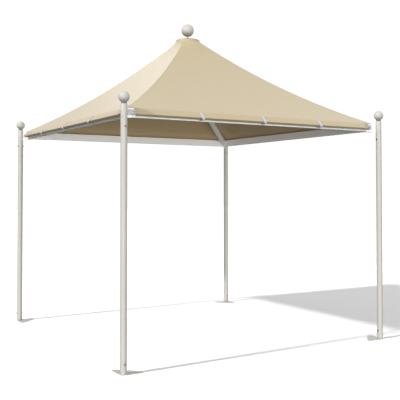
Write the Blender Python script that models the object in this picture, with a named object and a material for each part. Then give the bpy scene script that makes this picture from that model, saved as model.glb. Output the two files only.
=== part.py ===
"""Garden gazebo, 3.0 m between post centres: steel frame and a sewn canopy.

Metres. Z is up. X runs along the front, Y runs to the back, and the floor is z = 0.
Every named object is one piece that a person could hold.
"""
import math

import bmesh
import bpy
from mathutils import Vector

# Driving sizes
POST_SPAN = 3.0          # between post centres, both ways
POST_D = 0.060
POST_WALL = 0.0015
SHELF_TOP = 2.2117       # top of the plate that carries the roof frame
SHELF_T = 0.005
HEAD_TOP = 2.320         # flat cap under the ball
STUB_D = 0.0564
STUB_WALL = 0.0025
STUB_LOW = 2.085
CAP_T = 0.003
SHELF_FROM = 0.0268      # the shelf plate, measured inwards from the post centre
SHELF_REACH = 0.132
SHELF_W = 0.060
STUD_R = 0.005
STUD_DEPTH = 0.022
STUD_CLEAR = 0.0004
FOOT_T = 0.006
FOOT_STUB_TOP = 0.130
BALL_D = 0.100
BALL_Z = 2.381
BALL_NECK_R = 0.015
FRAME_HALF = 1.446       # outer face of the eave beams
BEAM_W = 0.040
BEAM_LOW = 2.212
BEAM_TOP = 2.2956
TUBE_WALL = 0.0012
RAFTER_W = 0.040
RAFTER_DEPTH = 0.0625    # measured vertically
RAFTER_LOW = 2.2217
RAFTER_RISE = 0.29
HUB_HALF = 0.060
HUB_LOW = 2.772
HUB_TOP = 2.855
HUB_WALL = 0.004
KING_D = 0.048
KING_WALL = 0.002
FLANGE_R = 0.045
FLANGE_T = 0.005
CROWN_R = 0.140
CROWN_LOW = 3.284
CROWN_TOP = 3.3085
PAN_T = 0.004
PAN_HOLE_R = 0.0085
BOSS_DEPTH = 0.060
EASE = 0.003             # broken edges of the pan and the cloth over it
CROWN_BALL_D = 0.144
CROWN_BALL_Z = 3.4255
CROWN_STEM_R = 0.008
BRACKET_T = 0.002
BRACKET_LEG = 0.065
BRACKET_LOW = 2.2300
BRACKET_TOP = 2.2830
CLOTH_T = 0.0016
CLOTH_HALF = 1.4485      # the fold over the beams
CLOTH_HEM = 2.2413
HEM_OUT = 0.052          # the lower edge of the hem stands this far out from the fold
CLOTH_CROWN_R = 0.1425
CLOTH_CROWN_TOP = 3.311
CLOTH_HOLE_R = 0.0095
DRUM_FOOT_R = 0.150      # the drum starts at the height of this ring
HEM_CUT = 1.372          # each hem stops this far from the middle of its side
HOOK_AT = (-0.70, 0.0, 0.70)
GAP = 0.0003

CORNERS = {
    "front_left": (-1, -1),
    "front_right": (1, -1),
    "back_left": (-1, 1),
    "back_right": (1, 1),
}
SIDES = {
    "front": (0, -1),
    "back": (0, 1),
    "left": (-1, 0),
    "right": (1, 0),
}

for old in list(bpy.data.objects):
    bpy.data.objects.remove(old, do_unlink=True)


def material(name, colour, rough, metal=0.0):
    mat = bpy.data.materials.new(name)
    mat.use_nodes = True
    shader = mat.node_tree.nodes["Principled BSDF"]
    shader.inputs["Base Color"].default_value = (*colour, 1.0)
    shader.inputs["Roughness"].default_value = rough
    shader.inputs["Metallic"].default_value = metal
    return mat


def face_outwards(mesh):
    bm = bmesh.new()
    bm.from_mesh(mesh)
    bmesh.ops.recalc_face_normals(bm, faces=bm.faces)
    bm.to_mesh(mesh)
    bm.free()


def add(name, verts, faces, colour, rough, metal=0.0):
    mesh = bpy.data.meshes.new(name)
    mesh.from_pydata([tuple(v) for v in verts], [], [tuple(f) for f in faces])
    face_outwards(mesh)
    mesh.update()
    obj = bpy.data.objects.new(name, mesh)
    bpy.context.scene.collection.objects.link(obj)
    mesh.materials.append(material("mat_" + name, colour, rough, metal))
    return obj


def prism(outline, low, high):
    """Closed solid from an anticlockwise outline in XY."""
    n = len(outline)
    verts = [(x, y, low) for x, y in outline] + [(x, y, high) for x, y in outline]
    faces = [tuple(reversed(range(n))), tuple(range(n, 2 * n))]
    for i in range(n):
        j = (i + 1) % n
        faces.append((i, j, n + j, n + i))
    return verts, faces


def lathe(profile, steps, centre=(0.0, 0.0)):
    """Turned solid. The profile of (r, z) goes up the outside and back down the inside.

    A point with r = 0 is a pole, and without one the solid is a ring.
    """
    cx, cy = centre
    verts = []
    rings = []
    for r, z in profile:
        if r == 0.0:
            rings.append([len(verts)])
            verts.append((cx, cy, z))
            continue
        ring = []
        for k in range(steps):
            a = 2.0 * math.pi * k / steps
            ring.append(len(verts))
            verts.append((cx + r * math.cos(a), cy + r * math.sin(a), z))
        rings.append(ring)
    faces = []
    closed = all(len(ring) > 1 for ring in rings)
    count = len(rings) if closed else len(rings) - 1
    for i in range(count):
        low = rings[i]
        high = rings[(i + 1) % len(rings)]
        for k in range(steps):
            m = (k + 1) % steps
            if len(low) == 1:
                faces.append((low[0], high[m], high[k]))
            elif len(high) == 1:
                faces.append((low[k], low[m], high[0]))
            else:
                faces.append((low[k], low[m], high[m], high[k]))
    return verts, faces


def hollow_bar(outer, inner, start, end):
    """Tube open at both ends. outer and inner are loops, start and end place their points."""
    n = len(outer)
    verts = []
    for place in (start, end):
        verts += [place(*p) for p in outer]
        verts += [place(*p) for p in inner]
    faces = []
    for i in range(n):
        j = (i + 1) % n
        faces.append((i, j, 2 * n + j, 2 * n + i))
        faces.append((n + j, n + i, 3 * n + i, 3 * n + j))
        faces.append((j, i, n + i, n + j))
        faces.append((2 * n + i, 2 * n + j, 3 * n + j, 3 * n + i))
    return verts, faces


def join_solids(name, first, second, colour, rough, metal):
    """One solid from two that overlap."""
    obj = add(name, *first, colour, rough, metal)
    tool_mesh = bpy.data.meshes.new(name + "_tool")
    tool_mesh.from_pydata([tuple(v) for v in second[0]], [], [tuple(f) for f in second[1]])
    face_outwards(tool_mesh)
    tool = bpy.data.objects.new(name + "_tool", tool_mesh)
    bpy.context.scene.collection.objects.link(tool)
    tool.hide_render = True
    tool.display_type = "WIRE"
    mod = obj.modifiers.new("join", "BOOLEAN")
    mod.operation = "UNION"
    mod.solver = "EXACT"
    mod.object = tool
    return obj


def turned(points, direction):
    """Points given for the side at -Y, turned to the side whose outward direction is given."""
    dx, dy = direction
    out = []
    for x, y, z in points:
        out.append((-dy * x - dx * y, dx * x - dy * y, z))
    return out


STEEL = ((0.72, 0.70, 0.66), 0.45, 0.0)
LIGHT = ((0.66, 0.66, 0.63), 0.42, 0.0)
CLOTH = ((0.63, 0.55, 0.38), 0.85, 0.0)


# Four round posts, open tubes from the foot plate to the shelf of the head
for tag, (sx, sy) in CORNERS.items():
    centre = (sx * POST_SPAN / 2, sy * POST_SPAN / 2)
    r = POST_D / 2
    low = FOOT_T + GAP
    high = SHELF_TOP - SHELF_T - GAP
    tube = [(r, low), (r, high), (r - POST_WALL, high), (r - POST_WALL, low)]
    add("post_" + tag, *lathe(tube, 36, centre), *STEEL)


# Feet: a three-cornered plate with a stub that stands inside the post
FOOT_EDGE = 0.030        # outer edges, from the post centre
FOOT_TIP = 0.175
FOOT_SUM = 0.185         # the long edge, where both distances add up to this


def foot_outline(sx, sy):
    pts = []
    for k in range(7):
        a = math.pi + math.pi / 2 * k / 6
        pts.append((FOOT_EDGE * math.cos(a), FOOT_EDGE * math.sin(a)))
    pts += [(FOOT_TIP, -FOOT_EDGE), (FOOT_TIP, FOOT_SUM - FOOT_TIP)]
    pts += [(FOOT_SUM - FOOT_TIP, FOOT_TIP), (-FOOT_EDGE, FOOT_TIP)]
    cx = sx * POST_SPAN / 2
    cy = sy * POST_SPAN / 2
    out = [(cx - sx * x, cy - sy * y) for x, y in pts]
    if sx * sy < 0:
        out.reverse()
    return out


for tag, (sx, sy) in CORNERS.items():
    centre = (sx * POST_SPAN / 2, sy * POST_SPAN / 2)
    r = STUB_D / 2
    stub = [(r, FOOT_T / 2), (r, FOOT_STUB_TOP), (r - STUB_WALL, FOOT_STUB_TOP), (r - STUB_WALL, FOOT_T / 2)]
    plate = prism(foot_outline(sx, sy), 0.0, FOOT_T)
    join_solids("foot_" + tag, plate, lathe(stub, 36, centre), *STEEL)


# Heads: a stub inside the post, a shelf under the frame corner, a short tube and a flat cap
for tag, (sx, sy) in CORNERS.items():
    cx = sx * POST_SPAN / 2
    cy = sy * POST_SPAN / 2
    shelf_low = SHELF_TOP - SHELF_T
    r = POST_D / 2
    s = STUB_D / 2
    hole = STUD_R + STUD_CLEAR
    body = [
        (s, STUB_LOW),
        (s, shelf_low),
        (r, shelf_low),
        (r, HEAD_TOP),
        (hole, HEAD_TOP),
        (hole, HEAD_TOP - CAP_T),
        (s - STUB_WALL, HEAD_TOP - CAP_T),
        (s - STUB_WALL, STUB_LOW),
    ]
    q = math.sqrt(0.5)
    ix = -sx * q
    iy = -sy * q
    shelf = []
    h = SHELF_W / 2
    for along, aside in ((SHELF_FROM, -h), (SHELF_REACH, -h), (SHELF_REACH, h), (SHELF_FROM, h)):
        shelf.append((cx + ix * along - iy * aside, cy + iy * along + ix * aside))
    join_solids("post_head_" + tag, lathe(body, 36, (cx, cy)), prism(shelf, shelf_low, SHELF_TOP), *STEEL)


# Balls on the posts, each with a neck and a stud through the cap
def ball_profile(radius, middle, neck_r, neck_low, stud_r, stud_low, steps):
    pts = [(0.0, stud_low), (stud_r, stud_low), (stud_r, neck_low), (neck_r, neck_low)]
    start = math.asin(neck_r / radius)
    half = math.pi / 2
    angles = [start + (half - start) * k / steps for k in range(steps + 1)]
    angles += [half + half * k / steps for k in range(1, steps)]
    pts += [(radius * math.sin(a), middle - radius * math.cos(a)) for a in angles]
    pts.append((0.0, middle + radius))
    return pts


for tag, (sx, sy) in CORNERS.items():
    centre = (sx * POST_SPAN / 2, sy * POST_SPAN / 2)
    neck_low = HEAD_TOP + GAP
    stud_low = HEAD_TOP - STUD_DEPTH
    shape = ball_profile(BALL_D / 2, BALL_Z, BALL_NECK_R, neck_low, STUD_R, stud_low, 6)
    add("post_ball_" + tag, *lathe(shape, 24, centre), *STEEL)


# Eave beams: box tubes, mitred at the corners
for side, direction in SIDES.items():
    out = FRAME_HALF
    inn = FRAME_HALF - BEAM_W
    t = TUBE_WALL
    outer = [(out, BEAM_LOW), (inn, BEAM_LOW), (inn, BEAM_TOP), (out, BEAM_TOP)]
    inner = [(out - t, BEAM_LOW + t), (inn + t, BEAM_LOW + t), (inn + t, BEAM_TOP - t), (out - t, BEAM_TOP - t)]
    verts, faces = hollow_bar(
        outer,
        inner,
        lambda d, z: (-(d - GAP), -d, z),
        lambda d, z: (d - GAP, -d, z),
    )
    add("eave_beam_" + side, turned(verts, direction), faces, *LIGHT)


# Rafters: straight box tubes from the frame corners to the hub, pointed to fit the corner
def rafter_low(r):
    return RAFTER_LOW + RAFTER_RISE * ((FRAME_HALF - BEAM_W) * math.sqrt(2.0) - r)


for tag, (sx, sy) in CORNERS.items():
    h = RAFTER_W / 2
    t = TUBE_WALL
    d = RAFTER_DEPTH
    tip = (FRAME_HALF - BEAM_W) * math.sqrt(2.0) - 2 * GAP
    q = math.sqrt(0.5)
    outer = [(-h, 0), (0, 0), (h, 0), (h, d), (0, d), (-h, d)]
    inner = [(-h + t, t), (0, t), (h - t, t), (h - t, d - t), (0, d - t), (-h + t, d - t)]

    def place(r, aside, up, sx=sx, sy=sy, q=q):
        x = sx * q * r - sy * q * aside
        y = sy * q * r + sx * q * aside
        return (x, y, rafter_low(r) + up)

    verts, faces = hollow_bar(
        outer,
        inner,
        lambda aside, up: place(HUB_HALF + GAP, aside, up),
        lambda aside, up: place(tip - abs(aside), aside, up),
    )
    add("rafter_" + tag, verts, faces, *LIGHT)


# Hub: a square box, open below, with its faces towards the rafters
def hub_square(half, z):
    q = half * math.sqrt(2.0)
    return [(q, 0.0, z), (0.0, q, z), (-q, 0.0, z), (0.0, -q, z)]


hollow = HUB_HALF - HUB_WALL
verts = hub_square(HUB_HALF, HUB_LOW) + hub_square(HUB_HALF, HUB_TOP)
verts += hub_square(hollow, HUB_LOW) + hub_square(hollow, HUB_TOP - HUB_WALL)
faces = [(4, 5, 6, 7), (15, 14, 13, 12)]
for i in range(4):
    j = (i + 1) % 4
    faces.append((i, j, 4 + j, 4 + i))
    faces.append((8 + j, 8 + i, 12 + i, 12 + j))
    faces.append((j, i, 8 + i, 8 + j))
add("rafter_hub", verts, faces, *LIGHT)


# King post: a flanged tube from the hub to the crown
r = KING_D / 2
low = HUB_TOP + GAP
high = CROWN_TOP - PAN_T - GAP
king = [
    (FLANGE_R, low),
    (FLANGE_R, low + FLANGE_T),
    (r, low + FLANGE_T),
    (r, high),
    (r - KING_WALL, high),
    (r - KING_WALL, low),
]
add("king_post", *lathe(king, 32), *LIGHT)


# Crown: a round pan with a rim turned down and a boss inside the king post
boss = r - KING_WALL - GAP
pan = [
    (PAN_HOLE_R, CROWN_TOP - BOSS_DEPTH),
    (boss, CROWN_TOP - BOSS_DEPTH),
    (boss, CROWN_TOP - PAN_T),
    (CROWN_R - PAN_T, CROWN_TOP - PAN_T),
    (CROWN_R - PAN_T, CROWN_LOW),
    (CROWN_R, CROWN_LOW),
    (CROWN_R, CROWN_TOP - EASE),
    (CROWN_R - EASE, CROWN_TOP),
    (PAN_HOLE_R, CROWN_TOP),
]
add("crown_pan", *lathe(pan, 40), *LIGHT)


# Crown ball on its stem
stem_low = CROWN_TOP - BOSS_DEPTH + 0.001
shape = ball_profile(
    CROWN_BALL_D / 2,
    CROWN_BALL_Z,
    CROWN_STEM_R,
    stem_low + 0.001,
    CROWN_STEM_R - 0.0001,
    stem_low,
    7,
)
add("crown_ball", *lathe(shape, 28), *STEEL)


# Corner brackets: angle plates on the outside of the frame corners
for tag, (sx, sy) in CORNERS.items():
    a = FRAME_HALF + GAP
    b = a + BRACKET_T
    c = a - BRACKET_LEG
    outline = [(b, b), (c, b), (c, a), (a, a), (a, c), (b, c)]
    pts = [(sx * x, sy * y) for x, y in outline]
    if sx * sy < 0:
        pts.reverse()
    add("corner_bracket_" + tag, *prism(pts, BRACKET_LOW, BRACKET_TOP), *STEEL)


# Canopy: four panels that are sewn at the hips, each with its turned-down hem, and a round crown
# The corner line rises by this curve, with d = distance in along the diagonal from HIP_START
HIP_START = 2.0718
HIP = (2.2883, 0.3539, 0.0709, 0.0067)
FOLD_R = CLOTH_HALF * math.sqrt(2.0)
ROUND_FROM = 0.60        # the corners start to round off here, and are gone at the crown
SEAM_GAP = 0.0004        # each panel stops this far short of the hip
PANELS = ("front", "right", "back", "left")


def hip_height(r):
    d = HIP_START - r
    return HIP[0] + HIP[1] * d + HIP[2] * d * d + HIP[3] * d ** 3


def roundness(r):
    t = max(0.0, (ROUND_FROM - r) / (ROUND_FROM - CLOTH_CROWN_R))
    return CLOTH_CROWN_R * t * t / r


def ring_point(r, side, u, rounded):
    """Point on one level of the roof. side 0 to 3 starts at the front, u runs from -1 to 1."""
    half = r * math.sqrt(0.5)
    x = u * half
    y = -half
    angle = -math.pi / 2 + u * math.pi / 4
    cx = r * math.cos(angle)
    cy = r * math.sin(angle)
    x = x * (1 - rounded) + cx * rounded
    y = y * (1 - rounded) + cy * rounded
    for _ in range(side):
        x, y = -y, x
    return x, y


cut = HEM_CUT / CLOTH_HALF
USTEPS = [-1.0, -cut, -0.72, -0.48, -0.24, 0.0, 0.24, 0.48, 0.72, cut]
LEVELS = [FOLD_R, 1.86, 1.62, 1.38, 1.14, 0.92, 0.72, 0.56, 0.43, 0.33, 0.25, 0.19]
per_side = len(USTEPS)
per = 4 * per_side
points = []
rings = []


def add_ring(r, z, rounded):
    ring = []
    for side in range(4):
        for u in USTEPS:
            x, y = ring_point(r, side, u, rounded)
            ring.append(len(points))
            points.append((x, y, z))
    rings.append(ring)


for r in LEVELS:
    add_ring(r, hip_height(r), roundness(r))
add_ring(CLOTH_CROWN_R, hip_height(DRUM_FOOT_R), 1.0)
add_ring(CLOTH_CROWN_R, CLOTH_CROWN_TOP - EASE, 1.0)
add_ring(CLOTH_CROWN_R - EASE, CLOTH_CROWN_TOP, 1.0)
add_ring(CLOTH_HOLE_R, CLOTH_CROWN_TOP, 1.0)

patches = {name: [] for name in (*PANELS, "crown")}
for level, (low, high) in enumerate(zip(rings[:-1], rings[1:])):
    for k in range(per):
        m = (k + 1) % per
        name = PANELS[k // per_side] if level < len(LEVELS) else "crown"
        patches[name].append((low[k], low[m], high[m], high[k]))

# Each hem stops short of the corners, from the second point of its side to the last
for side, name in enumerate(PANELS):
    dx, dy = SIDES[name]
    fold = rings[0][side * per_side + 1:(side + 1) * per_side]
    hem = []
    for v in fold:
        x, y, z = points[v]
        hem.append(len(points))
        points.append((x + dx * HEM_OUT, y + dy * HEM_OUT, CLOTH_HEM))
    for k in range(len(fold) - 1):
        patches[name].append((hem[k], hem[k + 1], fold[k + 1], fold[k]))

# The whole sheet gives each point its inner partner, so that neighbours meet on a mitre
sheet = bmesh.new()
marks = [sheet.verts.new(p) for p in points]
for quads in patches.values():
    for quad in quads:
        sheet.faces.new([marks[i] for i in quad])
sheet.normal_update()
outer_points = [v.co.copy() for v in marks]
inner_points = [v.co - v.normal * CLOTH_T * v.calc_shell_factor() for v in marks]
sheet.free()


def thick_patch(quads, shift):
    """Closed solid between the outer and inner points. shift draws back the points of a seam."""
    used = sorted({i for quad in quads for i in quad})
    index = {old: new for new, old in enumerate(used)}
    n = len(used)
    verts = [outer_points[i] + shift[i] if i in shift else outer_points[i] for i in used]
    verts += [inner_points[i] + shift[i] if i in shift else inner_points[i] for i in used]
    faces = [tuple(index[i] for i in quad) for quad in quads]
    faces += [tuple(n + index[i] for i in reversed(quad)) for quad in quads]
    edges = {(a, b) for quad in quads for a, b in zip(quad, quad[1:] + quad[:1])}
    for a, b in sorted(edges):
        if (b, a) not in edges:
            faces.append((index[b], index[a], n + index[a], n + index[b]))
    return verts, faces


for side, name in enumerate(PANELS):
    shift = {}
    for ring in rings[:len(LEVELS) + 1]:
        first = ring[side * per_side]
        last = ring[((side + 1) * per_side) % per]
        after = ring[side * per_side + 1]
        before = ring[side * per_side + per_side - 1]
        shift[first] = (outer_points[after] - outer_points[first]).normalized() * SEAM_GAP
        shift[last] = (outer_points[before] - outer_points[last]).normalized() * SEAM_GAP
    add("canopy_" + name, *thick_patch(patches[name], shift), *CLOTH)
shift = {i: Vector((0.0, 0.0, 2 * GAP)) for i in rings[len(LEVELS)]}
add("canopy_crown", *thick_patch(patches["crown"], shift), *CLOTH)


# Hooks: three on each side, a strip bent out from the beam under the hem and back up along it
HOOK_W = 0.028
HOOK_T = 0.003
HOOK_PATH = [             # distance out from the centre, and height, down the middle of the strip
    (FRAME_HALF + GAP, 2.2190),
    (1.5025, 2.2190),
    (1.5085, 2.2245),
    (1.5085, 2.2372),
    (1.5017, 2.2450),
    (1.4578, 2.2916),
]


def strip_sides(path, thickness):
    """The two edges of a bent strip, mitred at each bend."""
    left = []
    right = []
    for i, (a, z) in enumerate(path):
        before = path[max(i - 1, 0)]
        after = path[min(i + 1, len(path) - 1)]
        normals = []
        for start, end in ((before, (a, z)), ((a, z), after)):
            da = end[0] - start[0]
            dz = end[1] - start[1]
            size = math.hypot(da, dz)
            if size > 0.0:
                normals.append((-dz / size, da / size))
        na = sum(n[0] for n in normals) / len(normals)
        nz = sum(n[1] for n in normals) / len(normals)
        fit = thickness / 2 / (na * na + nz * nz)
        left.append((a + na * fit, z + nz * fit))
        right.append((a - na * fit, z - nz * fit))
    return left, right


upper, lower = strip_sides(HOOK_PATH, HOOK_T)
for side, direction in SIDES.items():
    for number, at in enumerate(HOOK_AT, start=1):
        verts = []
        for x in (at - HOOK_W / 2, at + HOOK_W / 2):
            verts += [(x, -a, z) for a, z in upper]
            verts += [(x, -a, z) for a, z in lower]
        n = len(HOOK_PATH)
        faces = [(0, n, 3 * n, 2 * n), (n - 1, 3 * n - 1, 4 * n - 1, 2 * n - 1)]
        for i in range(n - 1):
            faces.append((i, i + 1, n + i + 1, n + i))
            faces.append((2 * n + i, 3 * n + i, 3 * n + i + 1, 2 * n + i + 1))
            faces.append((i, 2 * n + i, 2 * n + i + 1, i + 1))
            faces.append((n + i, n + i + 1, 3 * n + i + 1, 3 * n + i))
        add("eave_hook_%s_%d" % (side, number), turned(verts, direction), faces, *STEEL)
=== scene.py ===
# %% [markdown]
# # A garden gazebo, three metres square
#
# Four round steel posts with ball tops carry a square frame of box tube. Four rafters rise from
# its corners to a hub, a short king post stands on the hub, and one sewn canopy is stretched
# from the frame up to a round crown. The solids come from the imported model, so this file only
# dresses them: it gives every piece its real edges, its cloth, its stitches and its finish.
#
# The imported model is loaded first. It is the fixed frame that every piece here is placed by.

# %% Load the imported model
import math

import bmesh
import bpy
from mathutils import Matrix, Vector


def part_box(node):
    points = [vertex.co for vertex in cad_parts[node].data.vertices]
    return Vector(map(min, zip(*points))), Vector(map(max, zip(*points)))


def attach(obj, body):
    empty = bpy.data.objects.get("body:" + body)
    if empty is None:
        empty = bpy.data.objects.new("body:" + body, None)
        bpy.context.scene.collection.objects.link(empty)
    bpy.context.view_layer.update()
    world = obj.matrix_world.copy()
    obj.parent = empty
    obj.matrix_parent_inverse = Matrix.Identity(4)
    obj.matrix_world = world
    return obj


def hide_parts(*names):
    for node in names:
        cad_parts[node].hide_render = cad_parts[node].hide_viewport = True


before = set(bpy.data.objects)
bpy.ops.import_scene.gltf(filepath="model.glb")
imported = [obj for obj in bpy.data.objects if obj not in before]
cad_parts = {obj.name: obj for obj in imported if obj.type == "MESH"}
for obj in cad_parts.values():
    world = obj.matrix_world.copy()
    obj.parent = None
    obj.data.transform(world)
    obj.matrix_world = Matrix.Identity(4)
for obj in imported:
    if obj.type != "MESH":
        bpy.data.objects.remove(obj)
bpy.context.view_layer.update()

# %% [markdown]
# ## The camera
#
# A camera can be guessed by eye or fitted. This one was fitted to the posts, their bolts, the
# balls and the foot plates of the photograph: it stands 8.2 m from the middle and 1.55 m up, at
# a standing person's eye height, and looks a little up. The picture was cropped off centre, so
# the lens is shifted rather than turned, which keeps the posts upright.

# %% Camera
CAMERA_AT = (-4.0772, -7.0600, 1.5473)
CAMERA_TURN = -30.113    # degrees to the right of the Y axis
CAMERA_LIFT = 1.508      # degrees above level
PICTURE = 400            # pixels each way
LENS_PIXELS = 710.16     # focal length in pixels of that picture
MIDDLE_OFF = (11.01, -25.35)   # from the lens axis to the picture's middle, in pixels

scene = bpy.context.scene
camera_data = bpy.data.cameras.new("camera")
camera_data.sensor_width = 36.0
camera_data.lens = LENS_PIXELS / PICTURE * camera_data.sensor_width
camera_data.shift_x = MIDDLE_OFF[0] / PICTURE
camera_data.shift_y = MIDDLE_OFF[1] / PICTURE
camera_data.clip_end = 200.0
camera = bpy.data.objects.new("camera", camera_data)
camera.location = CAMERA_AT
camera.rotation_euler = (math.radians(90.0 + CAMERA_LIFT), 0.0, math.radians(CAMERA_TURN))
scene.collection.objects.link(camera)
scene.camera = camera
scene.view_settings.view_transform = "Standard"
print("lens", round(camera_data.lens, 2), "mm")

# %% [markdown]
# ## Colours and nodes
#
# Colours are written as the hex values that a paint chart or a picture gives. Shaders work with
# linear light, so one function turns them. Node trees are long to write by hand, so one small
# function adds a node, sets it and joins it, and a few more cover what every tree here needs.


# %% Colour and node helpers
def linear(hex_colour):
    """Linear RGBA of an sRGB hex colour."""
    out = []
    for k in (0, 2, 4):
        c = int(hex_colour[k:k + 2], 16) / 255.0
        out.append(c / 12.92 if c <= 0.04045 else ((c + 0.055) / 1.055) ** 2.4)
    return (*out, 1.0)


def add_node(tree, kind, feeds=None, **settings):
    """Add one node. feeds maps an input to a value or to the socket that is joined to it."""
    node = tree.nodes.new(kind)
    for name, value in settings.items():
        setattr(node, name, value)
    for socket, value in (feeds or {}).items():
        if isinstance(value, bpy.types.NodeSocket):
            tree.links.new(value, node.inputs[socket])
        else:
            node.inputs[socket].default_value = value
    return node


def ramp(tree, value, low, high, start=0.0, stop=1.0):
    """A socket that goes from low to high while value goes from start to stop."""
    return add_node(tree, "ShaderNodeMapRange", {
        "Value": value, "From Min": start, "From Max": stop, "To Min": low, "To Max": high}).outputs[0]


def two_tones(tree, factor, hex_colour, shade):
    """A colour socket that factor moves between two hex colours."""
    mix = {0: factor, 6: linear(hex_colour), 7: linear(shade)}
    return add_node(tree, "ShaderNodeMix", mix, data_type="RGBA").outputs[2]


def new_finish(name, **sockets):
    """A material with its shader's plain values set on the shader itself."""
    finish = bpy.data.materials.new(name)
    finish.use_nodes = True
    shader = finish.node_tree.nodes["Principled BSDF"]
    for socket, value in sockets.items():
        shader.inputs[socket.replace("_", " ")].default_value = value
    return finish, finish.node_tree, shader


def join(tree, shader, sockets):
    """Join sockets to the shader's inputs of these names."""
    for name, socket in sockets.items():
        tree.links.new(socket, shader.inputs[name])


# %% [markdown]
# ## Light and floor
#
# The light is a low sun from the left, a pale sky and a soft panel behind the gazebo that draws
# the sheen on the left slope. The sky is dark below the horizon and at full strength from about
# 24 degrees up. Soft glows are added to it: two strong ones low in front stand for the light
# that the sunlit ground sends up into the roof, and two weaker ones are at the left and at the
# back right. The floor is plain and pale, and takes the long shadow of the roof.

# %% Sky
SKY_UP = 0.97
SKY_DOWN = 0.02
SKY_RISE = (-0.05, 0.40)   # sines of the heights where the sky starts and stops getting brighter
SKY_GLOWS = {            # degrees left of the front, degrees up, cosine of its edge, how much
    "front": (0.0, -8.0, 0.80, 2.10),
    "front_left": (30.0, -8.0, 0.80, 2.35),
    "left": (75.0, -4.0, 0.80, 0.50),
    "back_right": (-112.0, -2.0, 0.80, 0.90),
}
GLOW_CORE = 0.98         # cosine of the edge of a glow's even middle
PAPER = 1.05             # the white that the camera sees behind everything


def sky_way(left, up):
    """Direction to a place in the sky, from degrees left of the front and degrees up."""
    a = math.radians(left)
    e = math.radians(up)
    return (-math.sin(a) * math.cos(e), -math.cos(a) * math.cos(e), math.sin(e))


def toward(way):
    """How nearly a look goes this way, from -1 to 1."""
    dot = add_node(sky, "ShaderNodeVectorMath", {0: look_way, 1: way}, operation="DOT_PRODUCT")
    return dot.outputs["Value"]


world = bpy.data.worlds.new("pale_sky")
world.use_nodes = True
scene.world = world
sky = world.node_tree
sky.nodes.clear()
look_way = add_node(sky, "ShaderNodeTexCoord").outputs["Generated"]
strength = ramp(sky, toward((0.0, 0.0, 1.0)), SKY_DOWN, SKY_UP, *SKY_RISE)
for left, up, wide, more in SKY_GLOWS.values():
    glow = ramp(sky, toward(sky_way(left, up)), 0.0, more, wide, GLOW_CORE)
    strength = add_node(sky, "ShaderNodeMath", {0: strength, 1: glow}, operation="ADD").outputs[0]
daylight = add_node(sky, "ShaderNodeBackground", {"Color": linear("FCFCFF"), "Strength": strength})
paper = add_node(sky, "ShaderNodeBackground", {"Color": linear("FFFFFF"), "Strength": PAPER})
seen = add_node(sky, "ShaderNodeLightPath").outputs["Is Camera Ray"]
either = add_node(sky, "ShaderNodeMixShader", {0: seen, 1: daylight.outputs[0], 2: paper.outputs[0]})
add_node(sky, "ShaderNodeOutputWorld", {"Surface": either.outputs[0]})
print("sky glows", len(SKY_GLOWS))

# %% Sun and sheen panel
SUN_WAY = Vector((0.842, 0.0515, -0.537))     # the way its light travels
SUN_SPREAD = math.radians(2.5)
SUN_POWER = 2.45
PANEL_POWER = 30.0
PANEL_AT = Vector((1.2, 6.4, 7.2))
PANEL_AIM = Vector((-0.4, -0.4, 2.9))         # a place on the roof, below the crown


def new_light(name, kind, power, way, **settings):
    """A lamp whose light travels this way."""
    data = bpy.data.lights.new(name, kind)
    data.energy = power
    for setting, value in settings.items():
        setattr(data, setting, value)
    lamp = bpy.data.objects.new(name, data)
    lamp.rotation_euler = way.to_track_quat("-Z", "Y").to_euler()
    scene.collection.objects.link(lamp)
    return lamp


new_light("low_sun", "SUN", SUN_POWER, SUN_WAY, angle=SUN_SPREAD, color=linear("FFFBF2")[:3])
panel = new_light("sheen_panel", "AREA", PANEL_POWER, PANEL_AIM - PANEL_AT, shape="SQUARE", size=3.2)
panel.location = PANEL_AT
panel.visible_camera = False

# %% [markdown]
# The floor alone gets more of the same sun and a light without shadows, so that it goes as
# white as the paper behind it while the shadow on it stays pale.

# %% Floor
FLOOR_HALF = 60.0
FLOOR_Z = -0.0004        # a hair below the feet
FLOOR_SUN_POWER = 8.4
FLOOR_SKY_POWER = 3.5
floor_paint = new_finish(
    "plain_floor", Roughness=0.9, Base_Color=(0.30, 0.30, 0.30, 1.0), Specular_IOR_Level=0.1)[0]
floor_mesh = bpy.data.meshes.new("floor")
floor_corners = [(x * FLOOR_HALF, y * FLOOR_HALF, FLOOR_Z) for x, y in ((-1, -1), (1, -1), (1, 1), (-1, 1))]
floor_mesh.from_pydata(floor_corners, [], [(0, 1, 2, 3)])
floor_mesh.materials.append(floor_paint)
floor = bpy.data.objects.new("floor", floor_mesh)
floor.visible_diffuse = False
floor.visible_glossy = False
floor.visible_shadow = False
scene.collection.objects.link(floor)

floor_only = bpy.data.collections.new("floor_only")
floor_only.objects.link(floor)
floor_sun = new_light("floor_sun", "SUN", FLOOR_SUN_POWER, SUN_WAY, angle=SUN_SPREAD)
floor_sky = new_light("floor_sky", "SUN", FLOOR_SKY_POWER, Vector((0.0, 0.0, -1.0)), use_shadow=False)
for lamp in (floor_sun, floor_sky):
    lamp.light_linking.receiver_collection = floor_only
print("floor", 2 * FLOOR_HALF, "m across")

# %% [markdown]
# ## Paint and metal
#
# The posts and the frame are steel with a baked powder coat: the powder melts into a satin skin
# with a faint orange peel, about 1 mm from bump to bump. It is drawn at 4 mm here, coarser than
# life, so that a near view still shows it. Hooks, plates and brackets have the same kind of coat.

# %% Powder coat
PEEL = 0.004             # metres from bump to bump


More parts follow.
